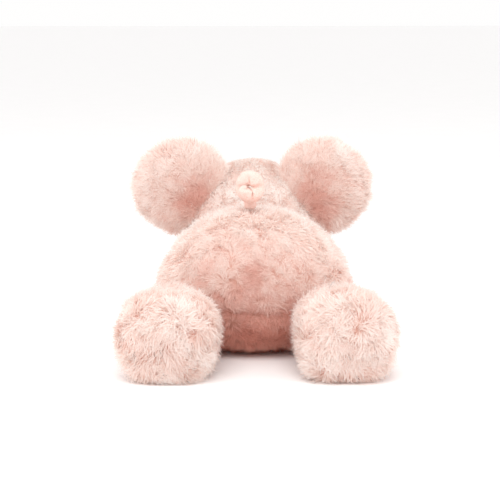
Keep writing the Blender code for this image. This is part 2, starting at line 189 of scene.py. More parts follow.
BLACK = (0, 0, 0)
FLOW_MARKS = (0.03, 0.012, 0.008)  # the warm lights in black acrylic


def opaque(shade):
    return (*shade, 1)


def blended(first, second, share):
    return tuple(a + (b - a) * share for a, b in zip(first, second))


def add_node(tree, kind, settings=None, sockets=None, output=None, stops=()):
    """Adds a node, and gives it or one of its outputs.

    A socket's value may be another node's output, which is then linked. stops are the places and
    colours of a colour ramp.
    """
    made = tree.nodes.new(kind)
    for name, value in (settings or {}).items():
        setattr(made, name, value)
    for name, value in (sockets or {}).items():
        if isinstance(value, bpy.types.NodeSocket):
            tree.links.new(value, made.inputs[name])
        else:
            made.inputs[name].default_value = value
    if stops:
        made.color_ramp.interpolation = "EASE"
        elements = made.color_ramp.elements
        while len(elements) < len(stops):
            elements.new(0.5)
        for element, (place, shade) in zip(elements, stops):
            element.position = place
            element.color = opaque(shade)
    return made if output is None else made.outputs[output]


def new_material(name):
    """An empty material and its tree."""
    made = bpy.data.materials.new(name)
    made.use_nodes = True
    made.node_tree.nodes.clear()
    return made, made.node_tree


def made_once(name, make, *values):
    """The material of this name, made when it is first asked for."""
    return bpy.data.materials.get(name) or make(name, *values)


def pile_material(name, colours):
    """Polyester pile: pale ends over rosy roots.

    A fibre is lit alike on both sides, so the back of a ribbon takes its light from behind.
    The map's X says how pale a pinch of pile is, painted shade included, and its Y how far up the pile a
    point lies.
    """
    made, tree = new_material(name)
    place = add_node(tree, "ShaderNodeUVMap", {"uv_map": "OFBake"}, output="UV")
    axes = add_node(tree, "ShaderNodeSeparateXYZ", sockets={"Vector": place}).outputs
    painted_shade, root, middle, tip = colours.painted_shade, colours.root, colours.middle, colours.tip
    stops = {
        "painted_shade": [(0.0, blended(painted_shade, BLACK, 0.25)), (0.5, painted_shade), (0.98, blended(painted_shade, root, 0.6))],
        "warm": [(0.0, root), (0.4, blended(root, middle, 0.6)), (0.95, blended(middle, tip, 0.35))],
        "pale": [
            (0.0, root),
            (0.3, blended(root, middle, 0.85)),
            (0.62, blended(middle, tip, 0.6)),
            (0.9, tip),
        ],
    }
    dyes = {kind: add_node(tree, RAMP, {}, {"Fac": axes["Y"]}, "Color", stops[kind]) for kind in stops}
    # Low paleness is painted shade: there the pile takes the painted-shade ramp, which is darker still at
    # its roots
    dye = dyes["painted_shade"]
    for kind, low, high in (("warm", 0.0, 0.3), ("pale", 0.3, 1.0)):
        sockets = {"Value": axes["X"], "From Min": low, "From Max": high}
        share = add_node(tree, "ShaderNodeMapRange", {}, sockets, 0)
        sockets = {"Factor": share, 6: dye, 7: dyes[kind]}
        dye = add_node(tree, "ShaderNodeMix", {"data_type": "RGBA"}, sockets, 2)
    sockets = {
        "Base Color": dye,
        "Roughness": 0.72,
        "IOR": 1.5,
        "Specular IOR Level": 0.25,
        "Sheen Weight": 0.3,
        "Sheen Roughness": 0.45,
        "Sheen Tint": opaque(tip),
    }
    lit = add_node(tree, PRINCIPLED, {}, sockets, 0)
    through = add_node(tree, "ShaderNodeBsdfTranslucent", {}, {"Color": dye}, 0)
    behind = add_node(tree, "ShaderNodeNewGeometry", output="Backfacing")
    sockets = {"Value": behind, "To Min": 0.15, "To Max": 0.85}
    share = add_node(tree, "ShaderNodeMapRange", {}, sockets, 0)
    both = add_node(tree, "ShaderNodeMixShader", {}, {0: share, 1: lit, 2: through}, 0)
    add_node(tree, OUTPUT, {}, {"Surface": both})
    return made


def velour_material(name, pale, dark, nap=0.9 * MM):
    """Knitted polyester velour, darker where its short nap is brushed the other way.

    The real nap is about 0.3 mm wide, and it is drawn coarser here so that it shows.
    """
    made, tree = new_material(name)
    place = add_node(tree, "ShaderNodeTexCoord", output="Object")
    sockets = {"Vector": place, "Scale": 1 / (9 * MM), "Detail": 3.0}
    brushed = add_node(tree, NOISE, {}, sockets, "Fac")
    fine = add_node(tree, NOISE, {}, {"Vector": place, "Scale": 1 / nap, "Detail": 2.0}, "Fac")
    sockets = {0: brushed, 1: 0.75, 2: fine}
    mixed = add_node(tree, MATH, {"operation": "MULTIPLY_ADD"}, sockets, 0)
    stops = [(0.55, dark), (0.8, blended(dark, pale, 0.65)), (1.05, pale)]
    shade = add_node(tree, RAMP, {}, {"Fac": mixed}, "Color", stops)
    sockets = {"Strength": 0.5, "Distance": 0.35 * MM, "Height": fine}
    bump = add_node(tree, "ShaderNodeBump", {}, sockets, "Normal")
    sockets = {
        "Base Color": shade,
        "Roughness": 0.82,
        "IOR": 1.5,
        "Specular IOR Level": 0.2,
        "Sheen Weight": 0.25,
        "Sheen Roughness": 0.4,
        "Sheen Tint": opaque(pale),
        "Normal": bump,
    }
    add_node(tree, OUTPUT, {}, {"Surface": add_node(tree, PRINCIPLED, {}, sockets, 0)})
    return made


def bead_material(name, colours):
    """Moulded acrylic, polished: nearly black, with a clear gloss and faint flow marks."""
    made, tree = new_material(name)
    place = add_node(tree, "ShaderNodeTexCoord", output="Object")
    flow = add_node(tree, NOISE, {}, {"Vector": place, "Scale": 1 / (3 * MM), "Detail": 2.0}, "Fac")
    stops = [(0.35, colours.bead), (0.7, blended(colours.bead, FLOW_MARKS, 0.6))]
    shade = add_node(tree, RAMP, {}, {"Fac": flow}, "Color", stops)
    sockets = {"Base Color": shade, "Roughness": 0.06, "IOR": 1.49, "Specular IOR Level": 0.35}
    add_node(tree, OUTPUT, {}, {"Surface": add_node(tree, PRINCIPLED, {}, sockets, 0)})
    return made


def floor_material(name, colours):
    """Matt painted board, with roller marks too soft to see as a pattern."""
    made, tree = new_material(name)
    place = add_node(tree, "ShaderNodeTexCoord", output="Object")
    marks = add_node(tree, NOISE, {}, {"Vector": place, "Scale": 1 / (60 * MM)}, "Fac")
    stops = [(0.3, blended(colours.floor, BLACK, 0.01)), (0.7, colours.floor)]
    shade = add_node(tree, RAMP, {}, {"Fac": marks}, "Color", stops)
    sockets = {"Base Color": shade, "Roughness": 0.9}
    add_node(tree, OUTPUT, {}, {"Surface": add_node(tree, PRINCIPLED, {}, sockets, 0)})
    return made


# Stuffed shapes


def turned(points, angle):
    """Points turned about the vertical through the origin."""
    c, s = math.cos(angle), math.sin(angle)
    x, y, z = points.T
    return np.stack([c * x - s * y, s * x + c * y, z], 1)


def node_points(*nodes):
    return np.concatenate([[v.co for v in frame["nodes"][name].data.vertices] for name in nodes])


class Envelope:
    """The stuffed shape of one body, from the box of its panels.

    front and below are the shares of the box before and under the shape's middle, and sunk is how
    far it would reach under the floor if the floor didn't press it flat. fullness is 2 for an egg
    and more for a boxier shape. pinch narrows the snout, droop lowers it and crest narrows the top.
    """

    def __init__(
        self, nodes, front, below, sunk=0.0, yaw=0.0, fullness=2.0, pinch=0.0, droop=0.0, crest=0.0
    ):
        points = turned(node_points(*nodes), -yaw)
        low, high = points.min(0), points.max(0)
        size = high - low
        middle = np.array([(low[0] + high[0]) / 2, low[1] + front * size[1], low[2] + below * size[2]])
        self.middle = turned(middle[None], yaw)[0]
        self.width = size[0] / 2
        self.front, self.rear = front * size[1], (1 - front) * size[1]
        self.down, self.up = below * size[2] + sunk, (1 - below) * size[2]
        self.yaw = yaw
        self.fullness = fullness
        self.pinch = pinch
        self.droop = droop
        self.crest = crest

    def surface(self, ways, depth=0.0):
        """Where these directions from the middle meet the shape, depth under its surface."""
        full = (np.abs(ways) ** self.fullness).sum(1) ** (1 / self.fullness)
        x, y, z = (ways / full[:, None]).T
        snout = np.maximum(0, -y) ** 2
        narrow = 1 - self.pinch * snout
        crest = 1 - self.crest * np.maximum(0, z)
        x = x * (self.width - depth) * narrow * crest
        y = y * np.where(y < 0, self.front - depth, self.rear - depth)
        z = z * np.where(z > 0, self.up - depth, self.down - depth) * narrow - self.droop * snout
        return turned(np.stack([x, y, z], 1), self.yaw) + self.middle

    def holds(self, points, depth=0.0):
        """Which points lie inside, at least depth under the surface."""
        x, y, z = turned(points - self.middle, -self.yaw).T
        y = y / np.where(y < 0, self.front - depth, self.rear - depth)
        snout = np.minimum(np.maximum(0, -y), 1) ** 2
        narrow = 1 - self.pinch * snout
        z = z + self.droop * snout
        z = z / (np.where(z > 0, self.up - depth, self.down - depth) * narrow)
        x = x / ((self.width - depth) * narrow * (1 - self.crest * np.clip(z, 0, 1)))
        return np.abs(x) ** self.fullness + np.abs(y) ** self.fullness + np.abs(z) ** self.fullness < 1


def leg_envelope(word, side):
    nodes = (f"leg_sleeve_{word}", f"foot_sole_{word}")
    return Envelope(nodes, 0.72, 0.508, sunk=13 * MM, yaw=LEG_YAW * side, fullness=2.25)


def arm_envelope(word, side):
    nodes = (f"arm_sleeve_{word}", f"paw_sole_{word}")
    return Envelope(nodes, 0.328, 0.47, sunk=6 * MM, yaw=ARM_YAW * side, fullness=2.2)


BODY_PANELS = ("body_back_left", "body_back_right", "belly_panel")
HEAD_PANELS = ("head_side_left", "head_side_right", "head_gusset", "chin_panel")
BODY = Envelope(BODY_PANELS, 0.563, 0.408, sunk=8 * MM, fullness=2.4, crest=0.2)
HEAD = Envelope(HEAD_PANELS, 0.5635, 0.407, pinch=0.36, droop=13 * MM)
LEGS = {word: leg_envelope(word, side) for word, side in SIDES}
ARMS = {word: arm_envelope(word, side) for word, side in SIDES}
NEIGHBOURS = [HEAD, *LEGS.values(), *ARMS.values()]  # that the body is pressed by

SQUEEZES = np.linspace(1, 0.3, 71)  # how far a skin may be drawn in by its neighbours
CLOTH_FLOOR = 1.2 * MM  # height of a pressed cloth over the floor
PILE_FLOOR = 0.2 * MM
STUFFING = 26 * MM  # size of the stuffing's lumps


def round_cage(cuts):
    """The directions and quads of a rounded cube, whose quads are nearly alike."""
    bm = bmesh.new()
    bmesh.ops.create_cube(bm, size=2)
    bmesh.ops.subdivide_edges(bm, edges=bm.edges, cuts=cuts, use_grid_fill=True)
    ways = np.tan(np.array([v.co for v in bm.verts]) * math.pi / 4)
    faces = [[v.index for v in face.verts] for face in bm.faces]
    bm.free()
    return ways / np.linalg.norm(ways, axis=1)[:, None], faces


def relaxed(points, faces, rounds):
    """Points moved towards the mean of their neighbours, a few times over."""
    ends = np.array([(face[i], face[i - 1]) for face in faces for i in range(len(face))])
    count = np.bincount(ends.ravel(), minlength=len(points))[:, None]
    for _ in range(rounds):
        sums = np.zeros_like(points)
        np.add.at(sums, ends[:, 0], points[ends[:, 1]])
        np.add.at(sums, ends[:, 1], points[ends[:, 0]])
        points = 0.5 * points + 0.5 * sums / count
    return points


def lumps(points, size, seed):
    """A smooth value from about -1 to 1 at each point, with bumps of this size."""
    shift = Vector((seed * 7.31, seed * 3.17, seed * 5.73))
    return np.array([noise.noise(Vector(point) / size + shift) for point in points])


def drifts(points, size, seed):
    """A smooth random direction at each point."""
    return 1.6 * np.stack([lumps(points, size, seed + shift) for shift in (0.37, 11.9, 23.3)], 1)


def pressed(points, middle, rooms):
    """Points drawn in towards the middle until none lies inside a neighbour."""
    for room in rooms:
        for share in SQUEEZES:
            inside = room.holds(middle + (points - middle) * share)
            if share == 1:
                caught, reach = inside.copy(), np.ones(len(points))
            caught &= inside
            reach[caught] = share
        points = middle + (points - middle) * reach[:, None]
    return points


def settled(points, softness=1.5 * MM):
    """Points lifted on to the floor, with a rounded rim where the shape meets it."""
    lifted = points.copy()
    lifted[:, 2] = CLOTH_FLOOR + softness * np.logaddexp(0, (points[:, 2] - CLOTH_FLOOR) / softness)
    return lifted


def mesh_object(name, points, faces):
    """A smooth object that isn't in the scene yet."""
    mesh = bpy.data.meshes.new(name)
    mesh.from_pydata(np.asarray(points).tolist(), [], faces)
    mesh.update()
    mesh.shade_smooth()
    return bpy.data.objects.new(name, mesh)


def into_scene(obj):
    bpy.context.scene.collection.objects.link(obj)
    return obj


def stuffed_skin(name, shape, depth, cuts=24, rooms=(), lump=1.3 * MM, seed=1, groove=None):
    """The cloth of a stuffed body as a closed mesh, pressed by its neighbours and by the floor."""
    ways, faces = round_cage(cuts)
    points = shape.surface(ways, depth)
    points = relaxed(pressed(points, shape.middle, rooms), faces, 2)
    points = points + ways * (lump * lumps(points, STUFFING, seed))[:, None]
    if groove is not None:
        points = points - ways * groove(points)[:, None]
    return mesh_object(name, settled(points), faces)


# Pile

# Sizes of the pattern that a cloth's pile lies in
WAVES = 17 * MM
LOCKS = 7 * MM
TUFTS = 9 * MM
PATCHES = 16 * MM
FLECKS = 6 * MM

KINDS_OF_PINCH = 5
# Lengths are shares of the pile's length. A ribbon stands for a few fibres, so it is wider than one.
PINCHES = {
    "long": {"seed": 11, "strands": 20, "spread": 0.2, "width": 0.036, "bend": 1.5, "fluff": 0.15},
    "short": {"seed": 23, "strands": 9, "spread": 0.4, "width": 0.12, "bend": 1.0, "fluff": 0.2},
}

# What a combed skin and its pile carry until the pile is a plain mesh
SPENT_ATTRIBUTES = {
    "comb": "FLOAT_VECTOR",
    "pile": "FLOAT",
    "cover": "FLOAT",
    "patch": "FLOAT",
    "tone": "FLOAT",
    "along": "FLOAT",
    "shade": "FLOAT",
    "skin_normal": "FLOAT_VECTOR",
}


def store(mesh, name, values):
    """Writes one number, or one vector, for each vertex."""
    kind = "FLOAT_VECTOR" if values.ndim == 2 else "FLOAT"
    made = mesh.attributes.new(name, kind, "POINT")
    made.data.foreach_set("vector" if values.ndim == 2 else "value", values.astype(np.float32).ravel())


def skin_arrays(mesh):
    """The places and normals of a mesh's vertices."""
    arrays = []
    for source, what in ((mesh.vertices, "co"), (mesh.vertex_normals, "vector")):
        values = np.empty(len(mesh.vertices) * 3, np.float32)
        source.foreach_get(what, values)
        arrays.append(values.reshape(-1, 3).astype(float))
    return arrays


def comb(obj, flow, drift=0.45, seed=1, cloth=0.05):
    """Stores how the pile lies.

    flow gives a direction, a length share, a cover share and a paleness, painted shade included, for each
    vertex. cloth is the place on the pile whose dye the bare cloth shows.
    """
    places, normals = skin_arrays(obj.data)
    way, pile, cover, tone = flow(places, normals)
    way = way + drift * drifts(places, WAVES, seed) + drift * drifts(places, LOCKS, seed + 5)
    way = way - normals * (way * normals).sum(1)[:, None]
    patch = 0.5 + 0.45 * lumps(places, PATCHES, seed + 3) + 0.5 * lumps(places, FLECKS, seed + 6)
    store(obj.data, "comb", way)
    store(obj.data, "pile", pile * (1 + 0.22 * lumps(places, TUFTS, seed + 2)))
    store(obj.data, "cover", np.clip(cover, 0, 1))
    store(obj.data, "patch", patch.clip(0.3, 1))
    store(obj.data, "tone", tone * np.ones(len(places)))
    store(obj.data, "along", np.full(len(places), cloth))


def pinch_of_pile(name, rng, strands, spread, width, bend, fluff):
    """A pinch of pile of unit length: tapered ribbons, rooted close together, that bend towards +X."""
    steps = np.array([0, 0.5, 1])
    taper = np.array([0.85, 1.0])
    points, faces, along = [], [], []
    for _ in range(strands):
        reach = rng.uniform(0.72, 1.06)
        turn = rng.normal(0, 0.7)
        root_angle, root_radius = rng.uniform(0, 2 * math.pi), spread * math.sqrt(rng.uniform(0, 1))
        root = root_radius * np.array([math.cos(root_angle), math.sin(root_angle), 0])
        tilt = math.radians(rng.uniform(-6, 16)) + bend * rng.uniform(0.35, 1.25) * steps
        out = np.cumsum([0, *(np.diff(steps) * np.sin(tilt[1:]))]) * reach
        rise = np.cumsum([0, *(np.diff(steps) * np.cos(tilt[1:]))]) * reach
        curve = np.stack([out * math.cos(turn), out * math.sin(turn), rise], 1)
        centre = curve + np.outer(1 + fluff * steps, root)
        twist = turn + rng.normal(0, 0.35)
        across = np.array([-math.sin(twist), math.cos(twist), 0]) * width / 2
        first = len(points)
        for step in range(2):
            points += [centre[step] + across * taper[step], centre[step] - across * taper[step]]
            along += [steps[step]] * 2
        points.append(centre[2])
        along.append(1.0)
        faces += [[first, first + 1, first + 3, first + 2], [first + 2, first + 3, first + 4]]
    made = mesh_object(name, points, faces)
    store(made.data, "along", np.array(along))
    return made


def pinches(kind):
    """A collection of a few pinches of long or short pile, made when it is first asked for."""
    name = f"{kind}_pinch"
    made = bpy.data.collections.get(name)
    if made is None:
        made = bpy.data.collections.new(name)
        shape = dict(PINCHES[kind])
        rng = np.random.default_rng(shape.pop("seed"))
        for number in range(KINDS_OF_PINCH):
            made.objects.link(pinch_of_pile(f"{name}_{number}", rng, **shape))
    return made


def new_tree(name, inputs):
    """A Geometry Nodes tree with these named inputs, its inputs' outputs and its end."""
    tree = bpy.data.node_groups.new(name, "GeometryNodeTree")
    tree.interface.new_socket("Geometry", in_out="INPUT", socket_type="NodeSocketGeometry")
    for label, kind in inputs.items():
        tree.interface.new_socket(label, in_out="INPUT", socket_type=f"NodeSocket{kind}")
    tree.interface.new_socket("Geometry", in_out="OUTPUT", socket_type="NodeSocketGeometry")
    return tree, tree.nodes.new("NodeGroupInput").outputs, tree.nodes.new("NodeGroupOutput")


def pile_tree():
    """Geometry Nodes that stand pinches of pile on a combed skin and keep them over the floor."""
    inputs = {
        "Pinches": "Collection",
        "Spacing": "Float",
        "Length": "Float",
        "Stray": "Float",
        "Floor": "Float",
        "Seed": "Int",
        "Pile": "Material",
    }
    tree, ask, result = new_tree("pile", inputs)
    add, multiply = {"operation": "ADD"}, {"operation": "MULTIPLY"}
    read = {
        name: add_node(tree, READ, {"data_type": kind}, {"Name": name}, 0)
        for name, kind in SPENT_ATTRIBUTES.items()
    }

    # Chances, each with a seed of its own
    other_way = add_node(tree, MATH, multiply, {0: ask["Stray"], 1: -1.0}, 0)
    ranges = {
        "stray": (other_way, ask["Stray"]),
        "lean": (0.35, 0.8),
        "size": (0.8, 1.15),
        "kind": (0, 1000),
        "mottle": (0.0, 0.25),
    }
    chance = {}
    for number, (name, (low, high)) in enumerate(ranges.items(), 1):
        seed = add_node(tree, MATH, add, {0: ask["Seed"], 1: number}, 0)
        first, kind = (4, "INT") if name == "kind" else (2, "FLOAT")
        sockets = {first: low, first + 1: high, "Seed": seed}
        chance[name] = add_node(tree, RANDOM, {"data_type": kind}, sockets, first // 2)

    # Where the pinches stand
    own_normal = add_node(tree, "GeometryNodeInputNormal", output=0)
    sockets = {"Geometry": ask["Geometry"], "Name": "skin_normal", "Value": own_normal}
    cloth = add_node(tree, STORE, {"data_type": "FLOAT_VECTOR"}, sockets, 0)
    cell = add_node(tree, MATH, multiply, {0: ask["Spacing"], 1: ask["Spacing"]}, 0)
    sockets = {
        "Mesh": cloth,
        "Distance Min": ask["Spacing"],
        "Density Max": add_node(tree, MATH, {"operation": "DIVIDE"}, {0: 3.0, 1: cell}, 0),
        "Density Factor": read["cover"],
        "Seed": ask["Seed"],
    }
    settings = {"distribute_method": "POISSON"}
    spots = add_node(tree, "GeometryNodeDistributePointsOnFaces", settings, sockets).outputs

    # How each one leans, and how long it is
    sockets = {"Vector": read["comb"], "Axis": spots["Normal"], "Angle": chance["stray"]}
    combed = add_node(tree, "ShaderNodeVectorRotate", {"rotation_type": "AXIS_ANGLE"}, sockets, 0)
    lean = add_node(tree, VECTOR_MATH, {"operation": "SCALE"}, {0: combed, "Scale": chance["lean"]}, 0)
    upright = add_node(tree, VECTOR_MATH, add, {0: spots["Normal"], 1: lean}, 0)
    settings = {"primary_axis": "Z", "secondary_axis": "X"}
    sockets = {"Primary Axis": upright, "Secondary Axis": combed}
    turn = add_node(tree, "FunctionNodeAxesToRotation", settings, sockets, 0)
    pile = add_node(tree, MATH, multiply, {0: ask["Length"], 1: read["pile"]}, 0)
    sockets = {"Collection": ask["Pinches"], "Separate Children": True}
    sockets = {
        "Points": spots["Points"],
        "Instance": add_node(tree, "GeometryNodeCollectionInfo", {}, sockets, 0),
        "Pick Instance": True,
        "Instance Index": chance["kind"],
        "Rotation": turn,
        "Scale": add_node(tree, MATH, multiply, {0: pile, 1: chance["size"]}, 0),
    }
    stood = add_node(tree, "GeometryNodeInstanceOnPoints", {}, sockets, 0)

    # How pale the pinches and the cloth are: their own tone, with the painted shade that the flows give
    patch = add_node(tree, MATH, multiply, {0: read["patch"], 1: 0.75}, 0)
    mottle = add_node(tree, MATH, add, {0: patch, 1: chance["mottle"]}, 0)
    shade = add_node(tree, MATH, multiply, {0: mottle, 1: read["tone"]}, 0)
    settings = {"data_type": "FLOAT", "domain": "INSTANCE"}
    stood = add_node(tree, STORE, settings, {"Geometry": stood, "Name": "shade", "Value": shade}, 0)
    hairs = add_node(tree, "GeometryNodeRealizeInstances", {}, {"Geometry": stood}, 0)
    shade = add_node(tree, MATH, multiply, {0: 0.5, 1: read["tone"]}, 0)
    settings = {"data_type": "FLOAT"}
    cloth = add_node(tree, STORE, settings, {"Geometry": cloth, "Name": "shade", "Value": shade}, 0)
    whole = add_node(tree, "GeometryNodeJoinGeometry")
    tree.links.new(hairs, whole.inputs[0])
    tree.links.new(cloth, whole.inputs[0])

    # Nothing hangs through the floor
    place = add_node(tree, "GeometryNodeInputPosition", output=0)
    axes = add_node(tree, "ShaderNodeSeparateXYZ", {}, {0: place}).outputs
    height = add_node(tree, MATH, {"operation": "MAXIMUM"}, {0: axes[2], 1: ask["Floor"]}, 0)
    lifted = add_node(tree, "ShaderNodeCombineXYZ", {}, {0: axes[0], 1: axes[1], 2: height}, 0)
    sockets = {"Geometry": whole.outputs[0], "Position": lifted}
    over = add_node(tree, "GeometryNodeSetPosition", {}, sockets, 0)

    # The pile takes its light mostly as the skin under it does
    sockets = {0: own_normal, 1: read["skin_normal"]}
    dot = add_node(tree, VECTOR_MATH, {"operation": "DOT_PRODUCT"}, sockets, 1)
    facing = add_node(tree, MATH, {"operation": "SIGN"}, {0: dot}, 0)
    outward = add_node(tree, VECTOR_MATH, {"operation": "SCALE"}, {0: own_normal, "Scale": facing}, 0)
    sockets = {0: read["skin_normal"], "Scale": 1.9}
    skin = add_node(tree, VECTOR_MATH, {"operation": "SCALE"}, sockets, 0)
    both = add_node(tree, VECTOR_MATH, add, {0: skin, 1: outward}, 0)
    soft = add_node(tree, VECTOR_MATH, {"operation": "NORMALIZE"}, {0: both}, 0)
    settings = {"mode": "FREE", "domain": "POINT"}
    sockets = {"Mesh": over, "Custom Normal": soft}
    smooth = add_node(tree, "GeometryNodeSetMeshNormal", settings, sockets, 0)

    place = add_node(tree, "ShaderNodeCombineXYZ", {}, {0: read["shade"], 1: read["along"]}, 0)
    settings = {"data_type": "FLOAT2", "domain": "CORNER"}
    mapped = add_node(tree, STORE, settings, {"Geometry": smooth, "Name": "OFBake", "Value": place}, 0)
    sockets = {"Geometry": mapped, "Material": ask["Pile"]}
    dyed = add_node(tree, "GeometryNodeSetMaterial", {}, sockets, 0)
    tree.links.new(dyed, result.inputs[0])
    return tree


def run_tree(obj, tree, values):
    """The plain mesh that a Geometry Nodes tree makes from an object, as an object of the same name."""
    modifier = into_scene(obj).modifiers.new(tree.name, "NODES")
    modifier.node_group = tree
    for item in tree.interface.items_tree:
        if item.in_out == "INPUT" and item.name in values:
            modifier[item.identifier] = values[item.name]
    graph = bpy.context.evaluated_depsgraph_get()
    mesh = bpy.data.meshes.new_from_object(obj.evaluated_get(graph), depsgraph=graph)
    name = obj.name
    bpy.data.objects.remove(obj)
    return into_scene(bpy.data.objects.new(name, mesh))


def grow_pile(obj, kind, spacing, pile_length, sizes, colours, seed):
    """The skin together with its long or short pile, as one mesh."""
    tree = bpy.data.node_groups.get("pile") or pile_tree()
    values = {
        "Pinches": pinches(kind),
        "Spacing": spacing,
        "Length": pile_length,
        "Stray": sizes.stray,
        "Floor": PILE_FLOOR,
        "Seed": sizes.seed + seed,
        "Pile": made_once(f"{kind}_polyester_pile", pile_material, colours),
    }
    made = run_tree(obj, tree, values)
    for name in SPENT_ATTRIBUTES:
        spent = made.data.attributes.get(name)
        if spent:
            made.data.attributes.remove(spent)
    return made


# How the pile of each part is combed

BELLY_SEAM = 34 * MM  # height over the floor
BACK_SEAM_TOP = 64 * MM  # above it the pile hides the seam
HEAD_SEAMS = 21.8 * MM  # from the middle of the head
HEAD_SEAMS_END = 46 * MM  # height over the floor
ROSY_HEIGHT = 66 * MM  # of the middle of the rump's rosy patch
SEWN_DEPTH = 6 * MM  # a limb's pile is left out this far inside the body


def rise(values, start, width):
    """0 up to the start, then evenly up to 1 over the width."""
    return np.clip((values - start) / width, 0, 1)


def hump(values, middle, width):
    """1 in the middle, and nearly 0 from twice the width."""
    return np.exp(-(((values - middle) / width) ** 2))


def away_from(places, point, calm=1 * MM):
    """Vectors from a point towards each place: unit length, but shorter where nearer than calm."""
    way = places - np.array(point)
    return way / np.maximum(np.linalg.norm(way, axis=1), calm)[:, None]


def near_floor(places, normals):
    """1 under the mouse, where it lies on its pile, and 0 elsewhere."""
    return rise(-normals[:, 2], 0.55, 0.3) * rise(-places[:, 2], -12 * MM, 6 * MM)


def limb_cover(places, under):
    """How close a leg's or an arm's pile stands."""
    return 1 - 0.75 * under - 0.8 * BODY.holds(places, SEWN_DEPTH)


def body_flow(places, normals):
    """Back and down from the neck, short and rosier on the rump, drawn in at the seams, and painted darker
    towards the floor as painted shade under the body.
    """
    x, _, z = places.T
    crown = BODY.middle + [0, -BODY.front * 0.5, BODY.up * 1.1]
    rump = rise(normals[:, 1], 0.45, 0.4)
    way = (0.55 * away_from(places, crown) + [0, 0, -0.25]) * (1 - 0.8 * rump)[:, None]
    back_seam = hump(x, 0, 3.2 * MM) * rump * (z < BACK_SEAM_TOP)
    drawn_in = np.maximum(0.6 * back_seam, 0.7 * hump(z, BELLY_SEAM, 4 * MM))
    rosy = hump(x, 0, 36 * MM) * hump(z, ROSY_HEIGHT, 22 * MM)
    # Painted shade: the pile darkens from 88 mm over the floor down to 22 mm, and below that it takes the
    # painted-shade dye
    tone = rise(z, 22 * MM, 66 * MM) ** 0.7 * (1 - 0.4 * rosy * rump) * (1 - 0.6 * drawn_in)
    pile = np.where(z < BELLY_SEAM, 0.72, 1 - 0.24 * rump) * (1 - 0.45 * drawn_in)
    under = near_floor(places, normals)
    buried = np.any([room.holds(places, -1.5 * MM) for room in NEIGHBOURS], axis=0)
    return way, pile * (1 - 0.45 * under), 1 - 0.3 * under - 0.55 * buried, tone


def leg_flow(shape):
    """Back along the leg, and whorled on the sole."""
    whorl = shape.surface(np.array([[0, 0.9, 0.42]]))[0]
    back = turned(np.array([[0, 1.0, 0]]), shape.yaw)

    def flow(places, normals):
        sole = rise(normals[:, 1], 0.35, 0.35)
        whorled = 0.5 * away_from(places, whorl, calm=26 * MM) + [0, 0, -0.3]
        way = (1 - sole)[:, None] * (0.5 * back + [0, 0, -0.1]) + sole[:, None] * whorled
        under = near_floor(places, normals)
        pile = (0.74 + 0.26 * sole) * (1 - 0.3 * under)
        return way, pile, limb_cover(places, under), 0.75 + 0.25 * sole

    return flow


def arm_flow(shape):
    """Ahead along the arm, and down over the paw."""
    ahead = turned(np.array([[0, -1.0, 0]]), shape.yaw)

    def flow(places, normals):
        paw = rise(-normals[:, 1], 0.4, 0.4)
        way = 0.6 * ahead * (1 - 0.6 * paw)[:, None] + [0, 0, -0.2]
        under = near_floor(places, normals)
        return way, (0.72 + 0.1 * paw) * (1 - 0.3 * under), limb_cover(places, under), 0.9

    return flow


def head_flow(places, normals):
    """Back from the nose, and longer on the cheeks."""
    tip = HEAD.middle + [0, -HEAD.front, -HEAD.droop]
    cheek = np.clip((places[:, 1] - HEAD.middle[1]) / HEAD.rear + 0.6, 0, 1)
    cover = 1 - 0.8 * BODY.holds(places, SEWN_DEPTH)
    return 0.75 * away_from(places, tip), 0.75 + 0.35 * cheek, cover, 1.5


# Pieces


class Piece:
    """What every operator here shares."""

    bl_options = {"REGISTER", "UNDO"}

    def settings(self, context):
        mouse = context.scene.plush_mouse
        return mouse.pile, mouse.colours


def joint_place(child):
    """Where the joint of a moving body stands."""
    return np.array(next(joint for joint in frame["joints"] if joint["child"] == child)["pos_m"])


def tube_faces(rings, around, closed=True):
    """Quads between rings of points, with a face over each end of a closed tube."""
    faces = []
    for ring in range(rings - 1):
        for step in range(around):
            a, b = ring * around + step, ring * around + (step + 1) % around
            faces.append([a, b, b + around, a + around])
    if closed:
        faces.append(list(range(around))[::-1])
        faces.append([(rings - 1) * around + step for step in range(around)])
    return faces


def mend(bm):
    """Merges doubles and turns the faces outwards."""
    bmesh.ops.remove_doubles(bm, verts=bm.verts, dist=0.02 * MM)
    bmesh.ops.recalc_face_normals(bm, faces=bm.faces)


def velour_piece(name, points, faces, colours):
    """A smooth velour piece in the scene."""
    made = into_scene(mesh_object(name, points, faces))
    bm = bmesh.new()
    bm.from_mesh(made.data)
    mend(bm)
    bm.to_mesh(made.data)
    bm.free()
    made.data.shade_smooth()
    velour = made_once("knitted_velour", velour_material, colours.velour, colours.velour_fold)
    made.data.materials.append(velour)
    return made


def plush(nodes):
    """Hides the frame's parts that a stuffed piece stands in for."""
    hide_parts(*nodes)


def sewn_limb(obj, part, end_node, word):
    """Hides the frame's parts that a leg or an arm stands in for, and bakes the limb's place into its
    mesh.
    """
    inside = (f"{part}_filling_{word}", f"{part}_bean_pouch_{word}")
    plush((f"{part}_sleeve_{word}", f"{end_node}_{word}", *inside))
    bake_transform(obj)


class MOUSE_OT_body(Piece, bpy.types.Operator):
    """Sews and stuffs the body, and combs its long pile from the neck towards the legs"""

    bl_idname = "mouse.body"
    bl_label = "Body"

    def execute(self, context):
        sizes, colours = self.settings(context)

        def groove(points):
            """Depth of the centre-back seam and of the belly seam."""
            back = hump(points[:, 0], 0, 1.6 * MM) * (points[:, 2] > 30 * MM)
            return 1.8 * MM * np.maximum(back, hump(points[:, 2], BELLY_SEAM, 2.4 * MM))

        cloth = sizes.cloth_depth
        skin = stuffed_skin("body_plush", BODY, cloth, cuts=30, rooms=NEIGHBOURS, seed=3, groove=groove)
        comb(skin, body_flow, drift=0.75, seed=4)
        made = grow_pile(skin, "long", sizes.long_spacing, sizes.long_pile, sizes, colours, 1)
        plush((*BODY_PANELS, "body_filling", "body_bean_pouch"))
        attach(made, "body")
        return {"FINISHED"}


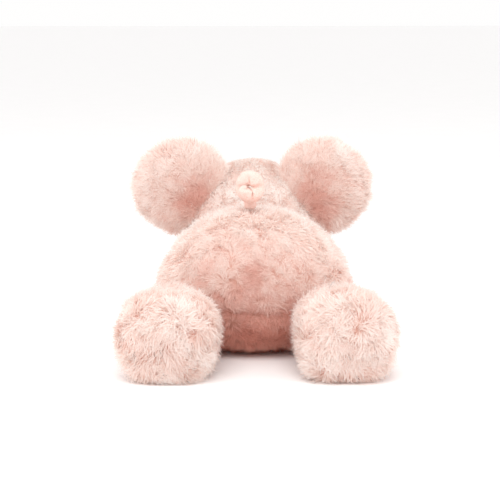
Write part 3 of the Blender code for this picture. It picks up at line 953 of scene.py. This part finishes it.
class MOUSE_OT_head(Piece, bpy.types.Operator):
    """Stuffs the head and brushes its short pile back from the nose"""

    bl_idname = "mouse.head"
    bl_label = "Head"

    def execute(self, context):
        sizes, colours = self.settings(context)

        def groove(points):
            """Depth of the two seams of the strip over the crown."""
            seams = hump(np.abs(points[:, 0]), HEAD_SEAMS, 1.5 * MM)
            return 0.9 * MM * seams * (points[:, 2] > HEAD_SEAMS_END)

        cloth = sizes.short_depth
        skin = stuffed_skin("head_plush", HEAD, cloth, cuts=30, lump=0.7 * MM, seed=8, groove=groove)
        comb(skin, head_flow, drift=0.25, seed=9, cloth=0.5)
        made = grow_pile(skin, "short", sizes.short_spacing, sizes.short_pile, sizes, colours, 2)
        plush((*HEAD_PANELS, "head_filling"))
        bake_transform(made)
        return {"FINISHED"}


class MOUSE_OT_legs(Piece, bpy.types.Operator):
    """Stuffs the legs, with the longest pile whorled on the soles"""

    bl_idname = "mouse.legs"
    bl_label = "Legs"

    def execute(self, context):
        sizes, colours = self.settings(context)
        for number, (word, shape) in enumerate(LEGS.items()):
            skin = stuffed_skin(f"leg_plush_{word}", shape, sizes.cloth_depth, seed=12 + number)
            comb(skin, leg_flow(shape), drift=1.25, seed=14 + number)
            made = grow_pile(skin, "long", sizes.sole_spacing, sizes.sole_pile, sizes, colours, 3 + number)
            sewn_limb(made, "leg", "foot_sole", word)
        return {"FINISHED"}


class MOUSE_OT_arms(Piece, bpy.types.Operator):
    """Stuffs the arms and combs their pile towards the paws"""

    bl_idname = "mouse.arms"
    bl_label = "Arms"

    def execute(self, context):
        sizes, colours = self.settings(context)
        for number, (word, shape) in enumerate(ARMS.items()):
            name, cloth = f"arm_plush_{word}", sizes.cloth_depth
            skin = stuffed_skin(name, shape, cloth, cuts=18, lump=0.8 * MM, seed=22 + number)
            comb(skin, arm_flow(shape), seed=24 + number)
            made = grow_pile(skin, "long", sizes.long_spacing, sizes.long_pile, sizes, colours, 5 + number)
            sewn_limb(made, "arm", "paw_sole", word)
        return {"FINISHED"}


EAR_RADIUS = 37.5 * MM
EAR_BACK = 13 * MM
EAR_FRONT = 7 * MM
EAR_RIM_DEPTH = 2.6 * MM  # of the cloth inside the ear's outline
EAR_CLOTH_DEPTH = 4 * MM  # of the cloth under the ear's back
EAR_FLAT = 1.2 * MM  # of cloth before the seam, behind the lining
LINING_INSET = 3 * MM
DISH_DEPTH = 3.4 * MM  # of the lining's middle before the ear's seam


def ear_middle(word, side):
    """The middle of an ear's round outline, on its seam."""
    low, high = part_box(f"ear_back_{word}")
    outer = high.x if side > 0 else low.x
    return np.array([outer - side * EAR_RADIUS, low.y, high.z - EAR_RADIUS])


class MOUSE_OT_ears(Piece, bpy.types.Operator):
    """Makes the ears: long pile on the back, a velour dish in front"""

    bl_idname = "mouse.ears"
    bl_label = "Ears"

    def execute(self, context):
        sizes, colours = self.settings(context)
        for number, (word, side) in enumerate(SIDES):
            self.back(word, side, sizes, colours, number)
            self.lining(word, side, colours)
        return {"FINISHED"}

    def back(self, word, side, sizes, colours, number):
        middle = ear_middle(word, side)
        pivot = joint_place(f"ear_{word}")
        root = pivot + [-side * 10 * MM, 0, -10 * MM]
        ways, faces = round_cage(16)
        radius = EAR_RADIUS - EAR_RIM_DEPTH
        points = ways * [radius, 1, radius]
        points[:, 1] = ways[:, 1] * np.where(ways[:, 1] > 0, EAR_BACK - EAR_CLOTH_DEPTH, EAR_FLAT)
        points = points + middle
        points = points + ways * (0.9 * MM * lumps(points, 20 * MM, 31 + number))[:, None]
        skin = mesh_object(f"ear_plush_{word}", points, faces)

        def flow(places, normals):
            """Outwards from the root, painted darker and rosier near it as painted shade where the ear
            meets the head, with none on the front.
            """
            way = 0.8 * away_from(places, root) + [0, 0, -0.12]
            rim = rise(np.linalg.norm((places - middle)[:, [0, 2]], axis=1), 0, EAR_RADIUS)
            front = rise(-normals[:, 1], 0.05, 0.25)
            buried = HEAD.holds(places, 4 * MM)
            # Painted shade: the pile darkens towards the root, where the ear meets the head
            tone = 0.15 + 0.85 * rise(np.linalg.norm(places - pivot, axis=1), 0, 34 * MM) ** 1.5
            return way, 0.75 + 0.3 * rim, 1 - front - 0.9 * buried, tone

        comb(skin, flow, seed=33 + number)
        spacing = sizes.long_spacing * 0.86
        made = grow_pile(skin, "long", spacing, sizes.ear_pile, sizes, colours, 7 + number)
        plush((f"ear_back_{word}", f"ear_wadding_{word}"))
        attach(made, f"ear_{word}")

    def lining(self, word, side, colours):
        """A round velour panel, dished inside its padded rim, and flat where it lies on the wadding."""
        rings, around = 26, 72
        radius = EAR_RADIUS - LINING_INSET
        shares = np.linspace(0, 1, rings + 1)
        rim = (EAR_FRONT - 1 * MM) * np.sin(math.pi * np.minimum(1, shares**1.4)).clip(0, 1) ** 0.6
        front = np.stack([shares, np.maximum(rim, DISH_DEPTH * (1 - shares))], 1)
        back = np.stack([np.array([0.97, 0.6, 0.0]), np.array([0.6, 1.3, 1.3]) * MM], 1)
        angles = 2 * math.pi * np.arange(around) / around
        circle = np.stack([np.cos(angles), 0 * angles, np.sin(angles)], 1) * radius
        points = [circle * share - [0, height, 0] for share, height in np.concatenate([front, back])]
        faces = tube_faces(len(points), around, closed=False)
        points = np.concatenate(points) + ear_middle(word, side)
        made = velour_piece(f"ear_velour_{word}", points, faces, colours)
        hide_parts(f"ear_lining_{word}")
        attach(made, f"ear_{word}")


TAIL_RADIUS = 4.4 * MM
TAIL_COIL_HALF_WIDTH = 6.4 * MM
TAIL_COIL_HALF_HEIGHT = 8.2 * MM
TAIL_COIL_LIFT = 12.2 * MM  # of the coil's middle over the root
TAIL_TURNS = 1.3
TAIL_ADVANCE = 13 * MM  # towards the rear, over the whole coil
TAIL_CURL = 0.35  # how much the coil shrinks towards its end
TAIL_CURL_START = 0.6  # share of the coil before it shrinks
TAIL_ROOT = 6 * MM  # inside the body's skin
TAIL_GATHERS = 4  # creases round the inside of the coil


def tail_path(count=120, root_count=14):
    """Points along the tail's middle, and the share of the coil at each: negative in the root."""
    root_shares = np.arange(root_count) / root_count - 1
    root = np.stack([0 * root_shares, 0 * root_shares, root_shares * TAIL_ROOT], 1)
    shares = np.linspace(0, 1, count)
    angle = -math.pi / 2 - shares * TAIL_TURNS * 2 * math.pi
    curl = np.maximum(0, shares - TAIL_CURL_START) / (1 - TAIL_CURL_START)
    across = -TAIL_COIL_HALF_WIDTH * (1 - TAIL_CURL * curl) * np.cos(angle)
    up = TAIL_COIL_HALF_HEIGHT * (1 - TAIL_CURL * curl) * np.sin(angle)
    coil = np.stack([across, shares * TAIL_ADVANCE, TAIL_COIL_LIFT + up], 1)
    path = np.concatenate([root, coil])
    for _ in range(14):
        path[1:-1] = 0.5 * path[1:-1] + 0.25 * (path[:-2] + path[2:])
    return path, np.concatenate([root_shares, shares])


class MOUSE_OT_tail(Piece, bpy.types.Operator):
    """Rolls the velour tail into its corkscrew, gathered on the inside of the coil"""

    bl_idname = "mouse.tail"
    bl_label = "Tail"

    def execute(self, context):
        _, colours = self.settings(context)
        root = joint_place("tail")
        path, shares = tail_path()
        tangent = np.gradient(path, axis=0)
        tangent /= np.linalg.norm(tangent, axis=1)[:, None]
        around = 36
        angles = 2 * math.pi * np.arange(around) / around
        points = []
        for number, (point, way, share) in enumerate(zip(path, tangent, shares)):
            across = np.array([0, 1.0, 0]) - way * way[1]
            across /= np.linalg.norm(across)
            spokes = np.outer(np.cos(angles), across) + np.outer(np.sin(angles), np.cross(way, across))
            inward = np.array([-point[0], 0, TAIL_COIL_LIFT - point[2]])
            reach = np.linalg.norm(inward)
            coiled = min(1, max(0, share) * 6)
            inner = np.maximum(0, spokes @ inward / reach) * coiled
            facing = np.maximum(0, spokes[:, 1]) * coiled
            # The radius shrinks to a point in the root and to a round tip
            end = min(1.0, (number + 0.6) / 6, math.sqrt(max(0.004, (len(path) - number) / 9)))
            crease = 0.5 + 0.5 * math.cos(TAIL_GATHERS * 2 * math.pi * TAIL_TURNS * share)
            gather = (reach / TAIL_RADIUS - 1) * inner**2 - (0.5 * inner + 0.3 * facing) * crease**6
            wrinkle = 0.05 * noise.noise(Vector(point) / (3 * MM)) + 0.04 * np.cos(3 * angles - 8 * share)
            points.append(point + TAIL_RADIUS * end * (1 + gather + wrinkle)[:, None] * spokes)
        faces = tube_faces(len(path), around)
        made = velour_piece("tail_velour", np.concatenate(points) + root, faces, colours)
        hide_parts("tail")
        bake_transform(made)
        return {"FINISHED"}


EYE_RADIUS = 5.6 * MM
EYE_DOME = 4.6 * MM  # height of the bead's round front
EYE_LIP = 0.4 * MM  # straight side behind the dome
SHANK_RADIUS = 1.8 * MM
SHANK_LENGTH = 9 * MM
WASHER_RADIUS = 6.4 * MM
WASHER_HALF = 0.8 * MM  # of the washer's thickness
NOSE_SWELL = [1.05, 1.3, 1.05]  # of the visible nose over its node
NOSE_SET_BACK = 0.6 * MM


class MOUSE_OT_face(Piece, bpy.types.Operator):
    """Adds the bead eyes with their washers, and the velour nose"""

    bl_idname = "mouse.face"
    bl_label = "Face"

    def execute(self, context):
        _, colours = self.settings(context)
        for word, _ in SIDES:
            self.eye(word, colours)
        self.nose(colours)
        return {"FINISHED"}

    def eye(self, word, colours):
        """A bead on its shank, with the washer that locks it, turned about the washer's axis."""
        washer = node_points(f"eye_washer_{word}")
        bead = node_points(f"eye_{word}")
        foot = washer.mean(0)
        way = np.linalg.svd(washer - foot)[2][2]
        way *= np.sign((bead.mean(0) - foot).dot(way))
        base = ((bead - foot) @ way).max() - EYE_DOME
        outline = [
            (0, base - SHANK_LENGTH),
            (SHANK_RADIUS, base - SHANK_LENGTH),
            (SHANK_RADIUS, -WASHER_HALF),
            (WASHER_RADIUS, -WASHER_HALF),
            (WASHER_RADIUS, WASHER_HALF),
            (SHANK_RADIUS, WASHER_HALF),
            (SHANK_RADIUS, base - EYE_LIP),
            (EYE_RADIUS, base - EYE_LIP),
        ]
        for step in range(13):
            angle = math.pi / 2 * step / 12
            outline.append((EYE_RADIUS * math.cos(angle), base + EYE_DOME * math.sin(angle)))
        bm = bmesh.new()
        verts = [bm.verts.new((r, 0, z)) for r, z in outline]
        edges = [bm.edges.new(pair) for pair in zip(verts, verts[1:])]
        whole = {"angle": 2 * math.pi, "steps": 40, "use_duplicate": False}
        bmesh.ops.spin(bm, geom=verts + edges, cent=(0, 0, 0), axis=(0, 0, 1), **whole)
        mend(bm)
        turn = Vector(way).to_track_quat("Z", "Y").to_matrix().to_4x4()
        bm.transform(Matrix.Translation(foot) @ turn)
        mesh = bpy.data.meshes.new(f"eye_bead_{word}")
        bm.to_mesh(mesh)
        bm.free()
        mesh.shade_smooth()
        mesh.set_sharp_from_angle(angle=math.radians(50))
        mesh.materials.append(made_once("polished_acrylic", bead_material, colours))
        made = into_scene(bpy.data.objects.new(mesh.name, mesh))
        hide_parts(f"eye_{word}", f"eye_washer_{word}")
        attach(made, "head")

    def nose(self, colours):
        """A velour pad, wider at its top."""
        low, high = (np.array(corner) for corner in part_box("nose"))
        ways, faces = round_cage(14)
        points = ways * (high - low) / 2 * NOSE_SWELL
        points[:, 0] *= 1 + 0.22 * np.clip(ways[:, 2], -1, 1)
        points = points + (low + high) / 2 + [0, NOSE_SET_BACK, 0]
        made = into_scene(mesh_object("nose_pad", points, faces))
        dark = blended(colours.nose, BLACK, 0.35)
        made.data.materials.append(velour_material("nose_velour", colours.nose, dark, nap=0.6 * MM))
        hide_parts("nose")
        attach(made, "head")


# Where the camera stands, seen from the middle of the feet's soles
AIM_HEIGHT = 33 * MM
CAMERA_DISTANCE = 1100 * MM
CAMERA_RISE = math.radians(12)
CAMERA_TURN = math.radians(1.0)
CAMERA_TILT = math.radians(3.1)  # upwards, so that the mouse lies low in the picture
CAMERA_PAN = math.radians(0.26)
LENS = 118.2

FLOOR_HALF = 12
ROOM_COLOUR = (1, 0.995, 0.99)
LIGHTS_AIM = Vector((0, 0.03, 0.05))
# Each softbox's place and size in metres, and the setting of its power
SOFTBOXES = {
    "key": ((0.1, 0.75, 1.25), 1.1, "key"),
    "left": ((1.3, 0.35, 0.55), 0.9, "side"),
    "right": ((-1.3, 0.35, 0.55), 0.9, "side"),
}


class MOUSE_OT_stage(Piece, bpy.types.Operator):
    """Sets the white studio: floor, softboxes and the camera behind the feet"""

    bl_idname = "mouse.stage"
    bl_label = "Stage"

    def execute(self, context):
        scene = context.scene
        mouse = scene.plush_mouse
        scene.view_settings.view_transform = "Standard"
        mesh = bpy.data.meshes.new("studio_floor")
        bm = bmesh.new()
        bmesh.ops.create_grid(bm, x_segments=1, y_segments=1, size=FLOOR_HALF)
        bm.to_mesh(mesh)
        bm.free()
        mesh.materials.append(floor_material("painted_board", mouse.colours))
        into_scene(bpy.data.objects.new("studio_floor", mesh))
        self.room(scene, mouse.light)
        self.camera(scene)
        return {"FINISHED"}

    def room(self, scene, light):
        world = bpy.data.worlds.new("white_room")
        world.use_nodes = True
        sky = world.node_tree.nodes["Background"]
        sky.inputs["Color"].default_value = opaque(ROOM_COLOUR)
        sky.inputs["Strength"].default_value = light.sky
        scene.world = world
        for name, (place, size, setting) in SOFTBOXES.items():
            lamp = bpy.data.lights.new(f"{name}_softbox", "AREA")
            lamp.shape = "SQUARE"
            lamp.size = size
            lamp.energy = light.key if setting == "key" else light.side
            made = into_scene(bpy.data.objects.new(lamp.name, lamp))
            made.location = place
            made.rotation_euler = (LIGHTS_AIM - Vector(place)).to_track_quat("-Z", "Y").to_euler()

    def camera(self, scene):
        target = Vector((0, CAD_HIGH.y, AIM_HEIGHT))
        flat = math.cos(CAMERA_RISE)
        back = Vector((flat * math.sin(CAMERA_TURN), flat * math.cos(CAMERA_TURN), math.sin(CAMERA_RISE)))
        camera = into_scene(bpy.data.objects.new("camera", bpy.data.cameras.new("camera")))
        camera.data.lens = LENS
        camera.location = target + CAMERA_DISTANCE * back
        facing = (-back).to_track_quat("-Z", "Y") @ Euler((CAMERA_TILT, CAMERA_PAN, 0)).to_quaternion()
        camera.rotation_euler = facing.to_euler()
        scene.camera = camera


class MOUSE_PT_panel(bpy.types.Panel):
    """Lists the mouse's pieces and what can be changed on them"""

    bl_idname = "MOUSE_PT_panel"
    bl_label = "Plush mouse"
    bl_space_type = "VIEW_3D"
    bl_region_type = "UI"
    bl_category = "Plush mouse"

    def draw(self, context):
        mouse = context.scene.plush_mouse
        for group in (mouse.pile, mouse.colours, mouse.light):
            box = self.layout.box()
            for name in group.bl_rna.properties.keys():
                if name not in ("rna_type", "name"):
                    box.prop(group, name)
        for operator in OPERATORS:
            self.layout.operator(operator.bl_idname)


OPERATORS = (
    MOUSE_OT_stage,
    MOUSE_OT_body,
    MOUSE_OT_head,
    MOUSE_OT_ears,
    MOUSE_OT_legs,
    MOUSE_OT_arms,
    MOUSE_OT_tail,
    MOUSE_OT_face,
)
CLASSES = (PileSizes, Colours, Light, PlushMouse, *OPERATORS, MOUSE_PT_panel)


def register():
    for item in CLASSES:
        bpy.utils.register_class(item)
    bpy.types.Scene.plush_mouse = PointerProperty(type=PlushMouse)


def unregister():
    del bpy.types.Scene.plush_mouse
    for item in reversed(CLASSES):
        bpy.utils.unregister_class(item)


def main():
    register()
    bpy.ops.mouse.stage()
    bpy.ops.mouse.body()
    bpy.ops.mouse.head()
    bpy.ops.mouse.ears()
    bpy.ops.mouse.legs()
    bpy.ops.mouse.arms()
    bpy.ops.mouse.tail()
    bpy.ops.mouse.face()


if __name__ == "__main__":
    main()
